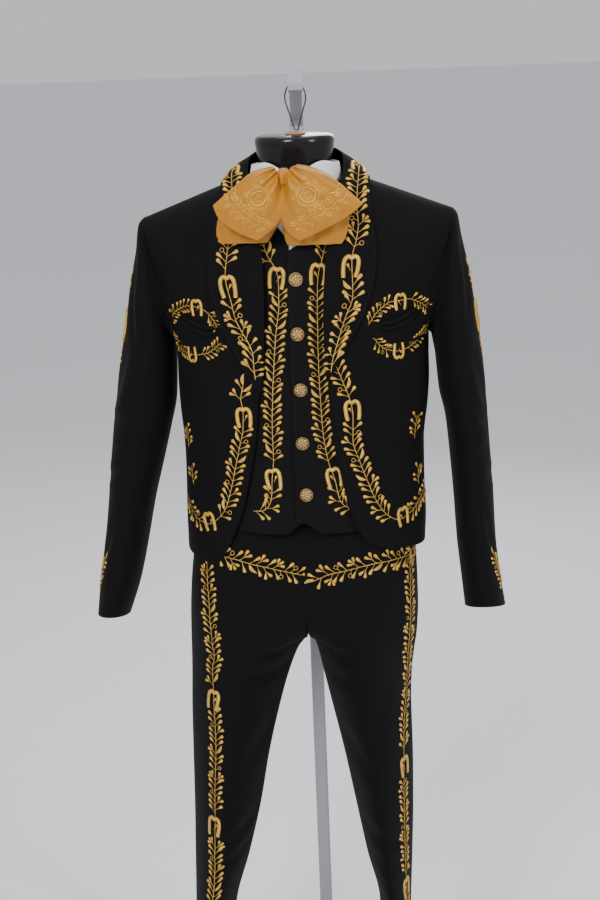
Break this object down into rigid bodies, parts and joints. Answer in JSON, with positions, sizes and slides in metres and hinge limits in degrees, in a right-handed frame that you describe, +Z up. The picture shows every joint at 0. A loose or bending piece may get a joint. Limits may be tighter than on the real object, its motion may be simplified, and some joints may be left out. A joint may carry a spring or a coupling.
{
  "type": "charro suit on a limbless dress form with a hooked stand",
  "caption": "Near-black charro suit of jacket, vest, trousers, shirt collar and large satin bow, gold floral embroidery, hung on a limbless dress form from a hooked pole stand.",
  "frame": {"origin": "middle of the bounding box in plan, on the floor under the stand's base", "axes": "+Z up, the suit's front faces -Y, +X is the wearer's left"},
  "size_m": [0.636, 0.38, 1.699],
  "materials": {
    "wool_cloth": "fine near-black suiting weave with light gold raised embroidery",
    "vest_cloth": "fine near-black suiting weave with light gold raised embroidery",
    "bow_satin": "orange-gold satin with lighter scroll embroidery",
    "bow_lining": "plain orange-gold satin",
    "shirt_cotton": "plain white cotton",
    "button_brass": "antique brass with a raised pattern",
    "form_gloss": "smooth glossy black",
    "form_plug": "small bare wooden plug",
    "loop_wire": "dark wire",
    "stand_paint": "satin light grey"
  },
  "bodies": {
    "root": {"jacket_front_left": "wool_cloth", "jacket_back_left": "wool_cloth", "collar_left": "wool_cloth", "pocket_welt_upper_left": "wool_cloth", "pocket_welt_lower_left": "wool_cloth", "sleeve_upper_left_arm": "wool_cloth", "sleeve_upper_left_forearm": "wool_cloth", "sleeve_under_left_arm": "wool_cloth", "sleeve_under_left_forearm": "wool_cloth", "trousers_front_left_shin": "wool_cloth", "trousers_front_left_thigh": "wool_cloth", "trousers_front_left_hip": "wool_cloth", "trousers_back_left_shin": "wool_cloth", "trousers_back_left_thigh": "wool_cloth", "trousers_back_left_hip": "wool_cloth", "vest_front_left": "vest_cloth", "bow_loop_left": "bow_satin", "bow_tail_left": "bow_lining", "shirt_collar_left": "shirt_cotton", "jacket_front_right": "wool_cloth", "jacket_back_right": "wool_cloth", "collar_right": "wool_cloth", "pocket_welt_upper_right": "wool_cloth", "pocket_welt_lower_right": "wool_cloth", "sleeve_upper_right_arm": "wool_cloth", "sleeve_upper_right_forearm": "wool_cloth", "sleeve_under_right_arm": "wool_cloth", "sleeve_under_right_forearm": "wool_cloth", "trousers_front_right_shin": "wool_cloth", "trousers_front_right_thigh": "wool_cloth", "trousers_front_right_hip": "wool_cloth", "trousers_back_right_shin": "wool_cloth", "trousers_back_right_thigh": "wool_cloth", "trousers_back_right_hip": "wool_cloth", "vest_front_right": "vest_cloth", "bow_loop_right": "bow_satin", "bow_tail_right": "bow_lining", "shirt_collar_right": "shirt_cotton", "trousers_waistband": "wool_cloth", "vest_back": "vest_cloth", "bow_knot": "bow_satin", "bow_neckband": "bow_lining", "shirt_collar_stand": "shirt_cotton", "shirt_front": "shirt_cotton", "vest_button_1": "button_brass", "vest_button_2": "button_brass", "vest_button_3": "button_brass", "vest_button_4": "button_brass", "vest_button_5": "button_brass", "form_torso": "form_gloss", "form_neck_plug": "form_plug", "form_wire_loop": "loop_wire", "stand_screw_1": "loop_wire", "stand_screw_2": "loop_wire", "stand_hook": "stand_paint", "stand_pole": "stand_paint", "stand_base": "stand_paint"}
  },
  "joints": []
}
